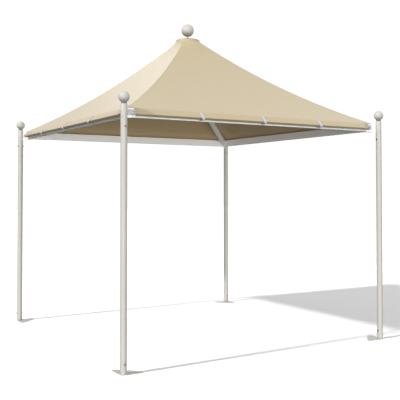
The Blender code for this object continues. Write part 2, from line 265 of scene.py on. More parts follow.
def powder_coat(name, hex_colour, shade, roughness, under=1.0):
    """Satin powder coat: peel in the bump, and a faint cloud of tone and gloss.

    under is what is left of the tone where the paint faces down: a painted shade on the underside.
    """
    finish, tree, shader = new_finish(name, Roughness=roughness, IOR=1.5)
    place = add_node(tree, "ShaderNodeTexCoord").outputs["Object"]
    cloud = add_node(tree, "ShaderNodeTexNoise", {"Vector": place, "Scale": 2.2, "Detail": 2.0}).outputs[0]
    colour = two_tones(tree, cloud, hex_colour, shade)
    gloss = ramp(tree, cloud, roughness - 0.05, roughness + 0.06)
    peel = add_node(tree, "ShaderNodeTexNoise", {"Vector": place, "Scale": 1.0 / PEEL, "Detail": 1.0})
    bump = add_node(tree, "ShaderNodeBump", {
        "Strength": 0.06, "Distance": 0.0004, "Height": peel.outputs[0]})
    # Painted shade: faces that point down are darkened, standing in for the shade under a ball.
    if under < 1.0:
        facing = add_node(tree, "ShaderNodeNewGeometry").outputs["Normal"]
        height = add_node(tree, "ShaderNodeSeparateXYZ", {0: facing}).outputs["Z"]
        painted_underside_shade = ramp(tree, height, under, 1.0, -0.80, -0.20)
        underside_shaded = add_node(tree, "ShaderNodeVectorMath", {0: colour, "Scale": painted_underside_shade}, operation="SCALE")
        colour = underside_shaded.outputs[0]
    join(tree, shader, {"Base Color": colour, "Roughness": gloss, "Normal": bump.outputs[0]})
    return finish


post_coat = powder_coat("powder_coated_steel_ivory", "AEADA7", "A9A79F", 0.42)
frame_coat = powder_coat("powder_coated_steel_pale_grey", "F3F3ED", "EDECE5", 0.42)
# The ball and crown coats are the post colour, darkened where they face down as painted shade.
ball_coat = powder_coat("powder_coated_steel_ivory_ball", "AEADA7", "A9A79F", 0.50, 0.85)
crown_coat = powder_coat("powder_coated_steel_ivory_crown", "AEADA7", "A9A79F", 0.50, 0.60)
# Painted shade: the collar's dark grey stands in for the shade under a ball.
collar_painted_shade_coat = powder_coat("dark_grey_collar_painted_shade", "666460", "5F5D59", 0.5)
hook_coat = powder_coat("powder_coated_steel_white", "B3B1B5", "ACAAAF", 0.42)
plate_coat = powder_coat("powder_coated_steel_cool_grey", "A19FA6", "9A98A0", 0.42)
print("paints", post_coat.name, frame_coat.name)

# %% [markdown]
# The bolts, and the corner rings with their pins, are zinc plated. They are plated while they
# tumble in a drum, which leaves a soft, slightly mottled metal, duller than polished steel. A
# metal keeps the default IOR, and the mottle is a few millimetres across.

# %% Zinc plate
MOTTLE = 0.006           # metres across one crystal patch


def zinc_plate(name, hex_colour, shade, roughness):
    """Barrel-plated zinc: mottled tone and gloss on a metal."""
    finish, tree, shader = new_finish(name, Metallic=1.0, Roughness=roughness)
    place = add_node(tree, "ShaderNodeTexCoord").outputs["Object"]
    patch = add_node(tree, "ShaderNodeTexVoronoi", {"Vector": place, "Scale": 1.0 / MOTTLE})
    grain = add_node(tree, "ShaderNodeTexNoise", {"Vector": place, "Scale": 700.0})
    tone = two_tones(tree, patch.outputs["Color"], hex_colour, shade)
    gloss = ramp(tree, grain.outputs[0], roughness - 0.08, roughness + 0.10)
    join(tree, shader, {"Base Color": tone, "Roughness": gloss})
    return finish


bright_zinc = zinc_plate("zinc_plated_steel_bright", "D8D8DC", "C9C9CE", 0.38)
dull_zinc = zinc_plate("zinc_plated_steel_dull", "8E8C88", "7C7A76", 0.45)
print("metals", bright_zinc.name, dull_zinc.name)

# %% [markdown]
# ## The canopy cloth
#
# The canopy is a woven polyester with a thin coat, in a sand colour. Up close it is a plain
# weave of threads about 0.5 mm apart, drawn here at 3 mm, because finer threads would only
# shimmer. Far off it is matt, with a milky sheen where it is seen at a low angle against the
# light. The weave follows a UV map that is laid out in metres, panel by panel, so the threads
# run along the eaves and up the slope as the cutter laid them.

# %% Woven cloth
THREAD = 0.003           # metres between threads as drawn


def woven_cloth(name, hex_colour, shade, sheen=0.12):
    """Coated plain weave on the piece's own UV map in metres."""
    finish, tree, shader = new_finish(
        name, Roughness=0.36, IOR=1.5, Sheen_Weight=sheen, Sheen_Roughness=0.45, Sheen_Tint=linear("FFFFFF"))
    laid = add_node(tree, "ShaderNodeUVMap", uv_map="cut").outputs[0]
    warp, weft = [add_node(
        tree, "ShaderNodeTexWave", {"Vector": laid, "Scale": math.pi / 10.0 / THREAD},
        wave_type="BANDS", bands_direction=way).outputs[1] for way in "XY"]
    weave = add_node(tree, "ShaderNodeMath", {0: warp, 1: weft}, operation="MAXIMUM")
    slub = add_node(tree, "ShaderNodeTexNoise", {"Vector": laid, "Scale": 9.0, "Detail": 4.0})
    tone = two_tones(tree, slub.outputs[0], hex_colour, shade)
    bump = add_node(tree, "ShaderNodeBump", {
        "Strength": 0.10, "Distance": 0.0006, "Height": weave.outputs[0]})
    join(tree, shader, {"Base Color": tone, "Normal": bump.outputs[0]})
    return finish


sand_cloth = woven_cloth("woven_polyester_sand", "A89A79", "A39574")
# Painted shade and light: the inner side has its own warmer, more saturated tone, standing in for the shade
# under the roof and the warm light that comes through the cloth.
inner_cloth_painted_shade = woven_cloth("woven_polyester_sand_inner_painted_shade", "B79F73", "B39A6E", 0.1)
binding_cloth = woven_cloth("polyester_binding_tape", "887E64", "81775E", 0.1)
print("cloths", sand_cloth.name, inner_cloth_painted_shade.name, binding_cloth.name)

# %% [markdown]
# ## Making meshes
#
# Most pieces here are either turned on a lathe, stacked from rings, or cut from box tube. A few
# small makers cover them all. Each leaves its object at the origin with its place in its mesh,
# as the frame asks, and makes its faces point outwards.


# %% Mesh makers
def new_piece(name, verts, faces, finish, smooth=35.0):
    """One object from points and faces. Edges sharper than smooth degrees stay sharp."""
    mesh = bpy.data.meshes.new(name)
    mesh.from_pydata([tuple(v) for v in verts], [], [tuple(f) for f in faces])
    bm = bmesh.new()
    bm.from_mesh(mesh)
    bmesh.ops.recalc_face_normals(bm, faces=bm.faces)
    bm.to_mesh(mesh)
    bm.free()
    mesh.materials.append(finish)
    mesh.shade_smooth()
    mesh.set_sharp_from_angle(angle=math.radians(smooth))
    piece = bpy.data.objects.new(name, mesh)
    scene.collection.objects.link(piece)
    return piece


def join_shapes(*shapes):
    """Several (verts, faces) as one."""
    verts = []
    faces = []
    for more_verts, more_faces in shapes:
        start = len(verts)
        verts += more_verts
        faces += [tuple(start + i for i in f) for f in more_faces]
    return verts, faces


def band(low, high, n):
    """Faces between two rings of n points, from the numbers of their first points."""
    return [(low + k, low + (k + 1) % n, high + (k + 1) % n, high + k) for k in range(n)]


def turns(n):
    """n angles round a full turn."""
    return [2.0 * math.pi * k / n for k in range(n)]


def turned_shape(profile, steps, centre=(0.0, 0.0)):
    """Lathe work. The (r, z) profile goes up the outside; r = 0 closes it at a pole."""
    cx, cy = centre
    verts = []
    rings = []               # the first point of each ring, and how many it has
    for r, z in profile:
        n = steps if r else 1
        rings.append((len(verts), n))
        verts += [(cx + r * math.cos(a), cy + r * math.sin(a), z) for a in turns(n)]
    hollow = all(n > 1 for _, n in rings)
    faces = []
    for (low, n), (high, m) in zip(rings, rings[1:] + (rings[:1] if hollow else [])):
        for k in range(steps):
            around = (low + k % n, low + (k + 1) % n, high + (k + 1) % m, high + k % m)
            faces.append(tuple(dict.fromkeys(around)))
    return verts, faces


def stack_shape(rings, tip=None):
    """Equal rings one above the other. The ends are flat, or the top runs to a tip."""
    n = len(rings[0])
    verts = [point for ring in rings for point in ring]
    last = len(verts) - n
    faces = [tuple(range(n))]
    for start in range(0, last, n):
        faces += band(start, start + n, n)
    if tip is None:
        faces.append(tuple(range(last, last + n)))
    else:
        faces += [(last + k, last + (k + 1) % n, last + n) for k in range(n)]
        verts.append(tip)
    return verts, faces


def rounding(before, corner, after, radius, steps):
    """Points of an arc that rounds the corner between two straight runs."""
    first = (before - corner).normalized()
    last = (after - corner).normalized()
    half = first.angle(last) / 2.0
    back = radius / math.tan(half)
    centre = corner + (first + last).normalized() * radius / math.sin(half)
    out = []
    for k in range(steps + 1):
        way = (first * back).lerp(last * back, k / steps) + corner - centre
        out.append(centre + way.normalized() * radius)
    return out


def round_corners(points, radius, steps=4):
    """A closed outline with each corner replaced by an arc."""
    points = [Vector(point) for point in points]
    out = []
    for i, here in enumerate(points):
        out += rounding(points[i - 1], here, points[(i + 1) % len(points)], radius, steps)
    return [tuple(point) for point in out]


def arc(r_mid, z_mid, radius, degrees):
    """Points of a lathe profile on an arc, at these angles above level."""
    angles = [math.radians(d) for d in degrees]
    return [(r_mid + radius * math.cos(a), z_mid + radius * math.sin(a)) for a in angles]


# %% [markdown]
# Corners and sides are named as they are seen from the front. Each gets a function that turns
# its own measures into a point, so one drawing of a piece serves all four. Every finished piece
# is noted, and the CAD nodes that it stands for are hidden.

# %% Corners and sides
CORNERS = {"front_left": (-1, -1), "front_right": (1, -1), "back_left": (-1, 1), "back_right": (1, 1)}
SIDES = {"front": (0, -1), "right": (1, 0), "back": (0, 1), "left": (-1, 0)}
POST_AT = 1.5            # post centres, both ways
POST_CENTRES = {tag: (sx * POST_AT, sy * POST_AT) for tag, (sx, sy) in CORNERS.items()}
DIAG = math.sqrt(0.5)    # how far one metre along a diagonal goes in X
made = []


def side_place(side):
    """Turns (along, out, up) of one side into a point. Along runs left to right from outside."""
    dx, dy = SIDES[side]
    return lambda along, out, up: (-dy * along + dx * out, dx * along + dy * out, up)


def corner_place(tag):
    """Turns (r, aside, up) of one corner's diagonal into a point, with r from the middle."""
    sx, sy = CORNERS[tag]
    return lambda r, aside, up: (DIAG * (sx * r - sy * aside), DIAG * (sy * r + sx * aside), up)


def keep(piece, slot, *nodes):
    """Note a finished piece and hide the CAD nodes that it replaces. slot is not used."""
    if nodes:
        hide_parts(*nodes)
    made.append(piece)
    return piece


# %% [markdown]
# ## Posts, heads and feet
#
# A post is 60 mm tube with a 1.5 mm wall. It slips over a stub on the foot plate and over a
# stub on the head. The head shows as a short length of the same tube with a flat cap, and a
# shelf plate reaches in from it to carry the corner of the frame. The plate is narrow where it
# leaves the tube and broad under the frame, and it is painted with the frame. The tubes are
# turned with 96 sides, so that no facet shows along them, and their cut ends are slightly broken.

# %% Post tubes
SMOOTH_STEPS = 96
TUBE_R = 0.030
TUBE_WALL = 0.0015
TUBE_EASE = 0.0006       # how far a cut end is broken

for tag, centre in POST_CENTRES.items():
    low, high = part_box("post_" + tag)
    z0 = low[2]
    z1 = high[2]
    profile = [
        (TUBE_R - TUBE_EASE, z0), (TUBE_R, z0 + TUBE_EASE), (TUBE_R, z1 - TUBE_EASE),
        (TUBE_R - TUBE_EASE, z1), (TUBE_R - TUBE_WALL, z1), (TUBE_R - TUBE_WALL, z0)]
    tube = new_piece("post_tube_" + tag, *turned_shape(profile, SMOOTH_STEPS, centre), post_coat)
    keep(tube, "post_steel", "post_" + tag)
print("post tubes", z0, "to", z1)

# %% Heads with their shelf plates
STUB_R = 0.0282
STUB_BORE = 0.0257
CAP_T = 0.003
CAP_ROUND = 0.0020
CAP_HOLE_R = 0.0054
SHELF_LOW = 2.2067
SHELF_TOP = 2.2117
SHELF_OUTLINE = round_corners([   # inwards from the post's middle, and aside
    (0.0268, -0.011), (0.066, -0.011), (0.080, -0.030), (0.132, -0.030),
    (0.132, 0.030), (0.080, 0.030), (0.066, 0.011), (0.0268, 0.011)], 0.004)

for tag, centre in POST_CENTRES.items():
    low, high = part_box("post_head_" + tag)
    end = low[2]
    top = high[2]
    body = turned_shape([
        (STUB_R, end), (STUB_R, SHELF_LOW), (TUBE_R - TUBE_EASE, SHELF_LOW), (TUBE_R, SHELF_LOW + TUBE_EASE),
        (TUBE_R, top - CAP_ROUND), (TUBE_R - TUBE_EASE, top - TUBE_EASE), (TUBE_R - CAP_ROUND, top),
        (CAP_HOLE_R, top), (CAP_HOLE_R, top - CAP_T), (STUB_BORE, top - CAP_T), (STUB_BORE, end)],
        SMOOTH_STEPS, centre)
    place = corner_place(tag)
    shelf = stack_shape([
        [place(POST_AT / DIAG - a, -b, z) for a, b in SHELF_OUTLINE]
        for z in (SHELF_LOW + 0.0001, SHELF_TOP)])
    head = new_piece("post_head_tube_" + tag, *join_shapes(body, shelf), post_coat)
    head.data.materials.append(frame_coat)
    for face in head.data.polygons[len(body[1]):]:
        face.material_index = 1
    keep(head, "post_steel", "post_head_" + tag)
print("heads up to", top)

# %% [markdown]
# The foot is a three-cornered plate, cut from 6 mm sheet so that it lies inside the line of
# the posts, where nobody trips on it. Its outer corner follows the tube. The sawn edge is
# eased, so it catches a thin line of light, and that is what tells the eye that it is a plate.

# %% Foot plates
FOOT_TOP = 0.006
FOOT_EDGE = 0.030
FOOT_TIP = 0.175
FOOT_SIDE = 0.010        # length of the short edge at each tip, past the post's middle
FOOT_EASE = 0.0007
FOOT_MIDDLE = Vector((0.045, 0.045))
FOOT_STUB_TOP = 0.130

foot_outline = []
for k in range(13):
    a = math.pi + math.pi / 2 * k / 12
    foot_outline.append((FOOT_EDGE * math.cos(a), FOOT_EDGE * math.sin(a)))
foot_outline += [(FOOT_TIP, -FOOT_EDGE), (FOOT_TIP, FOOT_SIDE), (FOOT_SIDE, FOOT_TIP), (-FOOT_EDGE, FOOT_TIP)]
foot_inner = []
for point in foot_outline:
    point = Vector(point)
    foot_inner.append(tuple(point - (point - FOOT_MIDDLE).normalized() * FOOT_EASE))
foot_layers = [
    (foot_inner, 0.0), (foot_outline, FOOT_EASE),
    (foot_outline, FOOT_TOP - FOOT_EASE), (foot_inner, FOOT_TOP)]
foot_stub = [
    (STUB_R, FOOT_TOP - 0.001), (STUB_R, FOOT_STUB_TOP - 0.001), (STUB_R - TUBE_EASE, FOOT_STUB_TOP),
    (STUB_BORE, FOOT_STUB_TOP), (STUB_BORE, FOOT_TOP - 0.001)]

for tag, (sx, sy) in CORNERS.items():
    plate = stack_shape([
        [(sx * (POST_AT - a), sy * (POST_AT - b), z) for a, b in ring] for ring, z in foot_layers])
    stub = turned_shape(foot_stub, SMOOTH_STEPS, POST_CENTRES[tag])
    foot = new_piece("foot_plate_" + tag, *join_shapes(plate, stub), post_coat, 25.0)
    keep(foot, "foot_steel", "foot_" + tag)
print("foot outline", len(foot_outline), "points")

# %% [markdown]
# ## Ball tops
#
# The balls are pressed from two bowls and welded at the middle, ground smooth and painted with
# the posts. A ball is turned from one profile: a short neck that widens a little, then the
# sphere, so there is no seam between them and the shade runs round it evenly. Where a ball
# faces down its colour is darkened, as painted shade. Each post ball stands in a collar on the
# cap of the post, painted dark grey as painted shade under the ball.


# %% Ball tops
def ball_profile(radius, middle, neck_r, neck_low, steps=40):
    """Neck and sphere, from the foot of the neck to the top pole."""
    start = math.asin(neck_r * 1.06 / radius)
    points = [(0.0, neck_low), (neck_r, neck_low), (neck_r, middle - radius * math.cos(start) - 0.0012)]
    for k in range(steps):
        a = start + (math.pi - start) * k / steps
        points.append((radius * math.sin(a), middle - radius * math.cos(a)))
    points.append((0.0, middle + radius))
    return points


BALL_R = 0.050
CROWN_BALL_R = 0.072
COLLAR = [
    (0.0135, 2.3204), (0.0230, 2.3204), (0.0238, 2.3212),
    (0.0238, 2.3350), (0.0230, 2.3359), (0.0135, 2.3323)]
for tag, centre in POST_CENTRES.items():
    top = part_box("post_ball_" + tag)[1][2]
    profile = ball_profile(BALL_R, top - BALL_R, 0.013, 2.3203)
    ball = new_piece("ball_top_" + tag, *turned_shape(profile, 72, centre), ball_coat, 50.0)
    keep(ball, "ball_steel", "post_ball_" + tag)
    # The collar is dark grey as painted shade under the ball.
    collar = new_piece("ball_collar_" + tag, *turned_shape(COLLAR, 64, centre), collar_painted_shade_coat)
    keep(collar, "ball_steel")

crown_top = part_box("crown_ball")[1][2]
profile = ball_profile(CROWN_BALL_R, crown_top - CROWN_BALL_R, 0.0079, 3.2505)
crown_ball = new_piece("crown_ball_top", *turned_shape(profile, 80), crown_coat, 50.0)
keep(crown_ball, "ball_steel", "crown_ball")
print("crown ball top at", crown_top)

# %% [markdown]
# ## Frame of box tube
#
# The eave beams are 40 by 84 mm box tube, mitred at the corners and laid on the shelf plates.
# Cold-rolled tube has rounded corners, about twice its wall, and that soft corner is the main
# thing that separates tube from a plain block. So each tube is swept from a rounded section,
# with its bore, between its two cuts.

# %% Box tube maker
BOX_WALL = 0.0012
BOX_ROUND = 0.0028


def box_tube(section, start, end):
    """Tube with rounded corners. section is an outline, start and end place its points."""
    outer = round_corners(section, BOX_ROUND, 5)
    centre = sum((Vector(p) for p in section), Vector((0.0, 0.0))) / len(section)
    shrunk = []
    for p in section:
        off = Vector(p) - centre
        wall = Vector([math.copysign(BOX_WALL, part) for part in off])
        shrunk.append(centre + (off - wall))
    inner = round_corners(shrunk, BOX_ROUND - BOX_WALL, 5)
    n = len(outer)
    verts = []
    for place in (start, end):
        verts += [place(*p) for p in outer] + [place(*p) for p in inner]
    faces = []
    for i in range(n):
        j = (i + 1) % n
        faces += [(i, j, 2 * n + j, 2 * n + i), (n + j, n + i, 3 * n + i, 3 * n + j)]
        faces += [(j, i, n + i, n + j), (2 * n + i, 2 * n + j, 3 * n + j, 3 * n + i)]
    return verts, faces


# %% Eave beams
BEAM_OUT = 1.446
BEAM_IN = 1.406
BEAM_SECTION = [(BEAM_OUT, 2.212), (BEAM_IN, 2.212), (BEAM_IN, 2.2956), (BEAM_OUT, 2.2956)]
CUT = 0.0003             # each mitre stops this short
for side in SIDES:
    place = side_place(side)
    shape = box_tube(
        BEAM_SECTION,
        lambda d, z, place=place: place(-(d - CUT), d, z),
        lambda d, z, place=place: place(d - CUT, d, z))
    keep(new_piece("eave_tube_" + side, *shape, frame_coat), "frame_steel", "eave_beam_" + side)
print("eave beams", len(SIDES))

# %% Rafters
HUB_HALF = 0.060
RAFTER_START = BEAM_IN / DIAG              # the frame's inner corner, from the middle
RAFTER_TIP = RAFTER_START - 2 * CUT
RAFTER_LOW = 2.2217
RAFTER_RISE = 0.29       # height for each metre inwards
RAFTER_SECTION = [(-0.020, 0.0), (0.020, 0.0), (0.020, 0.0625), (-0.020, 0.0625)]
for tag in CORNERS:

    def rafter_place(r, aside, up, place=corner_place(tag)):
        return place(r, aside, RAFTER_LOW + RAFTER_RISE * (RAFTER_START - r) + up)

    shape = box_tube(
        RAFTER_SECTION,
        lambda aside, up, place=rafter_place: place(HUB_HALF + CUT, aside, up),
        lambda aside, up, place=rafter_place: place(RAFTER_TIP - abs(aside), aside, up))
    keep(new_piece("rafter_tube_" + tag, *shape, frame_coat), "frame_steel", "rafter_" + tag)
print("rafters", len(CORNERS))

# %% [markdown]
# The hub, the king post, the corner brackets and the hooks are right as they were cut, and only
# their edges are too sharp. In a copy of each, the triangles of a flat face are merged and the
# edges get a small bevel, which is quicker and safer than building them again.


# %% Softened copies
def softened(node, name, finish, width, slot):
    """A copy of a CAD node with its edges rounded over."""
    bm = bmesh.new()
    bm.from_mesh(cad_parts[node].data)
    bmesh.ops.remove_doubles(bm, verts=bm.verts, dist=1e-6)
    bmesh.ops.dissolve_limit(bm, angle_limit=math.radians(1.0), verts=bm.verts, edges=bm.edges)
    mesh = bpy.data.meshes.new(name)
    bm.to_mesh(mesh)
    bm.free()
    mesh.materials.clear()
    mesh.materials.append(finish)
    mesh.shade_smooth()
    mesh.set_sharp_from_angle(angle=math.radians(40.0))
    piece = bpy.data.objects.new(name, mesh)
    scene.collection.objects.link(piece)
    edge = piece.modifiers.new("eased_edges", "BEVEL")
    edge.width = width
    edge.segments = 2
    edge.limit_method = "ANGLE"
    edge.angle_limit = math.radians(40.0)
    keep(piece, slot, node)


softened("rafter_hub", "hub_box", frame_coat, 0.0015, "frame_steel")
softened("king_post", "king_tube", frame_coat, 0.0008, "frame_steel")

# %% [markdown]
# The crown pan is pressed round: its rim turns down over a wide shoulder, and a boss in its
# middle takes the stem of the ball.

# %% Crown pan
PAN_SHOULDER = 0.022
PAN_T = 0.004
PAN_RIM_LOW = 3.284
PAN_BORE_R = 0.0087
BOSS_R = 0.0217
pan_low, pan_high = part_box("crown_pan")
pan_r = pan_high[0]
pan_top = pan_high[2]
boss_low = pan_low[2] + 0.0002
turn_at = (pan_r - PAN_SHOULDER, pan_top - PAN_SHOULDER)
pan_profile = [(PAN_BORE_R, boss_low), (BOSS_R, boss_low), (BOSS_R, pan_top - PAN_T)]
pan_profile += arc(*turn_at, PAN_SHOULDER - PAN_T, [90.0 - 11.25 * k for k in range(9)])
pan_profile += [(pan_r - PAN_T, PAN_RIM_LOW), (pan_r, PAN_RIM_LOW)]
pan_profile += arc(*turn_at, PAN_SHOULDER, [11.25 * k for k in range(9)])
pan_profile.append((PAN_BORE_R, pan_top))
pan = new_piece("crown_pan_pressing", *turned_shape(pan_profile, SMOOTH_STEPS), frame_coat, 40.0)
keep(pan, "frame_steel", "crown_pan")
print("crown pan", pan_low, pan_high)

# %% Brackets and hooks
for tag in CORNERS:
    softened("corner_bracket_" + tag, "corner_plate_" + tag, hook_coat, 0.0005, "bracket_steel")
for side in SIDES:
    for number in (1, 2, 3):
        tag = "%s_%d" % (side, number)
        softened("eave_hook_" + tag, "hook_strip_" + tag, hook_coat, 0.0007, "hook_steel")
print("pieces so far", len(made))

# %% [markdown]
# ## The canopy
#
# Four panels are cut with a hollow curve and sewn at the hips, so the cloth can be pulled
# tight to the crown without a wrinkle. Every level line is straight along a panel, and the hip
# is one long hollow curve, steep at the top and flat at the eaves. Near the crown the square
# turns into a circle. The whole skin follows that rule, so it is built as rings: the rule
# gives each ring its height and how round it is. At the eaves the cloth rolls over the beam
# and hangs as a short hem, and the hem of every side stops short of the corners.

# %% Canopy rule
HIP_START = 2.0718
HIP = (2.2883, 0.3539, 0.0709, 0.0067)   # height at HIP_START, then its rise, bend and twist
FOLD = 1.4485            # where slope and hem would meet, from the centre
FOLD_R = FOLD / DIAG
HEM_LOW = 2.2413
HEM_OUT = 0.052          # the hem's lower edge stands out this far from the fold
HEM_CUT = 1.380          # each hem stops this far from the middle of its side
CROWN_R = 0.1425
CROWN_TOP = 3.311
CROWN_HOLE_R = 0.0095
ROUND_FROM = 0.60        # inside this ring the square starts to turn into a circle
FOLD_TOP = HIP[0] + HIP[1] * (HIP_START - FOLD_R) + HIP[2] * (HIP_START - FOLD_R) ** 2


def hip_height(r):
    """Height of the ring whose corner is r from the centre."""
    d = HIP_START - r
    return HIP[0] + HIP[1] * d + HIP[2] * d * d + HIP[3] * d ** 3


def roundness(r):
    """How round ring r is, from 0, a square, to 1, a circle."""
    t = max(0.0, (ROUND_FROM - r) / (ROUND_FROM - CROWN_R))
    return CROWN_R * t * t / r


def ring_point(r, side, u, rounded=None):
    """Point of ring r on side 0 to 3 from the front, with u from -1 to 1 along it."""
    if rounded is None:
        rounded = roundness(r)
    half = r * DIAG
    angle = -math.pi / 2 + u * math.pi / 4
    x = u * half * (1 - rounded) + r * math.cos(angle) * rounded
    y = -half * (1 - rounded) + r * math.sin(angle) * rounded
    for _ in range(side):
        x, y = -y, x
    return Vector((x, y, hip_height(r)))


# %% [markdown]
# The rings are closer together under the crown, where the curve is tight. Over the crown pan the
# cloth turns level with a rounded shoulder. The hem is added side by side below the lowest ring,
# because no side's hem reaches the corners. Each face carries its UVs, measured in metres along
# the eave and up the slope.

# %% Canopy rings
STEPS_ALONG = 36
ROLL = 0.005             # radius of the roll over the beam
SHOULDER = 0.024         # radius of the cloth's turn over the crown pan
slope_way = (hip_height(FOLD_R - 0.01) - hip_height(FOLD_R)) / (0.01 * DIAG)
slope_angle = math.atan(slope_way)
hem_angle = math.atan2(FOLD_TOP - HEM_LOW, HEM_OUT)
roll_back = ROLL * math.tan((hem_angle - slope_angle) / 2)
print("slope at the eave", round(math.degrees(slope_angle), 1), "hem", round(math.degrees(hem_angle), 1))

start_r = (FOLD - roll_back * math.cos(slope_angle)) / DIAG
levels = [start_r + (0.62 - start_r) * (k / 30) for k in range(31)]
levels += [0.62 + (0.150 - 0.62) * (k / 26) for k in range(1, 27)]
cut_u = HEM_CUT / FOLD
us = [-1.0, -1.0 + (1.0 - cut_u) * 0.35, -1.0 + (1.0 - cut_u) * 0.7]
us += [-cut_u + 2 * cut_u * k / STEPS_ALONG for k in range(STEPS_ALONG + 1)]
us += [1.0 - (1.0 - cut_u) * 0.7, 1.0 - (1.0 - cut_u) * 0.35]
per_side = len(us)
per_ring = 4 * per_side
points = []
rings = []               # for each ring its points, its run up the slope and its half width


def add_ring(r, run, half, z=None):
    """One ring of the skin, by the rule, or level and round at height z."""
    rings.append((list(range(len(points), len(points) + per_ring)), run, half))
    for side in range(4):
        for u in us:
            point = ring_point(r, side, u, None if z is None else 1.0)
            if z is not None:
                point.z = z
            points.append(point)


run = 0.0
for i, r in enumerate(levels):
    if i:
        run += math.hypot((levels[i - 1] - r) * DIAG, hip_height(r) - hip_height(levels[i - 1]))
    add_ring(r, run, r * DIAG)
crown_rows = arc(CROWN_R - SHOULDER, CROWN_TOP - SHOULDER, SHOULDER, [10.0 * k for k in range(10)])
crown_rows += [(0.10, CROWN_TOP), (0.05, CROWN_TOP), (CROWN_HOLE_R, CROWN_TOP)]
for r, z in crown_rows:
    last = points[rings[-1][0][0]]
    run += math.hypot(math.hypot(last.x, last.y) - r, z - last.z)
    add_ring(r, run, CROWN_R * math.pi / 4, z)

quads = []
quad_uvs = []
for (low, low_run, low_half), (high, high_run, high_half) in zip(rings[:-1], rings[1:]):
    for k in range(per_ring):
        m = (k + 1) % per_ring
        u0 = us[k % per_side]
        u1 = 1.0 if k % per_side == per_side - 1 else us[k % per_side + 1]
        quads.append((low[k], low[m], high[m], high[k]))
        quad_uvs.append((
            (u0 * low_half, low_run), (u1 * low_half, low_run),
            (u1 * high_half, high_run), (u0 * high_half, high_run)))

# %% Canopy hem
HEM_LIP = 0.0012
TUCK_IN = 0.0225         # where the turned-under edge ends, from the hem's lower edge
TUCK_DOWN = 0.0172
fold = Vector((FOLD, FOLD_TOP))
slope_end = Vector((start_r * DIAG, hip_height(start_r)))
hem_edge = Vector((FOLD + HEM_OUT, HEM_LOW))
down = (hem_edge - fold).normalized()
hem_normal = Vector((-down.y, down.x))
hem_length = (hem_edge - fold).length
hem_corner = hem_edge + down * HEM_LIP
tuck_end = hem_edge + Vector((-TUCK_IN, -TUCK_DOWN))
hem_rows = rounding(slope_end, fold, hem_edge, ROLL, 6)[1:]      # as (out, up) of a side
hem_rows += [fold.lerp(hem_edge, t) for t in (0.3, 0.5, 0.7, 0.88)]
hem_rows += rounding(fold, hem_corner, tuck_end, 0.0025, 6)
hem_rows += [hem_corner.lerp(tuck_end, t) for t in (0.35, 0.7, 1.0)]
hem_columns = range(3, per_side - 2)
for side_number, side in enumerate(SIDES):
    above = [rings[0][0][side_number * per_side + i] for i in hem_columns]
    along = [us[i] * FOLD for i in hem_columns]
    place = side_place(side)
    row_run = 0.0
    before = slope_end
    for out_up in hem_rows:
        row = list(range(len(points), len(points) + len(along)))
        points += [Vector(place(a, out_up.x, out_up.y)) for a in along]
        next_run = row_run - (out_up - before).length
        for i in range(len(row) - 1):
            quads.append((row[i], row[i + 1], above[i + 1], above[i]))
            quad_uvs.append((
                (along[i], next_run), (along[i + 1], next_run),
                (along[i + 1], row_run), (along[i], row_run)))
        above = row
        row_run = next_run
        before = out_up
print("canopy points", len(points), "faces", len(quads))


# %% Canopy object
def cloth_piece(name, points, quads, quad_uvs, finish, thickness, smooth=60.0, inner_finish=None):
    """An open sheet with its UVs in metres, given its thickness inwards."""
    mesh = bpy.data.meshes.new(name)
    mesh.from_pydata([tuple(p) for p in points], [], quads)
    layer = mesh.uv_layers.new(name="cut")
    for spot, uv in enumerate(uv for uvs in quad_uvs for uv in uvs):
        layer.data[spot].uv = uv
    mesh.materials.append(finish)
    mesh.shade_smooth()
    mesh.set_sharp_from_angle(angle=math.radians(smooth))
    piece = bpy.data.objects.new(name, mesh)
    scene.collection.objects.link(piece)
    skin = piece.modifiers.new("cloth_thickness", "SOLIDIFY")
    skin.thickness = thickness
    skin.offset = -1.0
    if inner_finish:
        mesh.materials.append(inner_finish)
        skin.material_offset = 1
    skin.use_even_offset = True
    return piece


canopy = cloth_piece("canopy_skin", points, quads, quad_uvs, sand_cloth, 0.0008, inner_finish=inner_cloth_painted_shade)
keep(canopy, "canopy_cloth", "canopy_front", "canopy_right", "canopy_back", "canopy_left", "canopy_crown")

# %% [markdown]
# ## Seams and tape
#
# The hips are felled seams: the two cloths are folded into each other and lie flat as a raised
# band, 12 mm wide, which narrows at the crown. The edge of the crown is bound with a tape. Both
# stand a little proud of the skin, so they are made as thin strips along the lines that they
# follow.

# %% Hip seams
SEAM_HALF = 0.006
SEAM_PROUD = 0.0005
SEAM_END = 0.16          # the ring where a seam stops, under the crown
seam_levels = [r for r in levels if r > SEAM_END]


def band_normal(rows, i, j):
    """The way out of a band of points, at point j of row i."""
    along = rows[min(i + 1, len(rows) - 1)][j] - rows[max(i - 1, 0)][j]
    cross = rows[i][min(j + 1, 4)] - rows[i][max(j - 1, 0)]
    return cross.normalized().cross(along.normalized()).normalized()


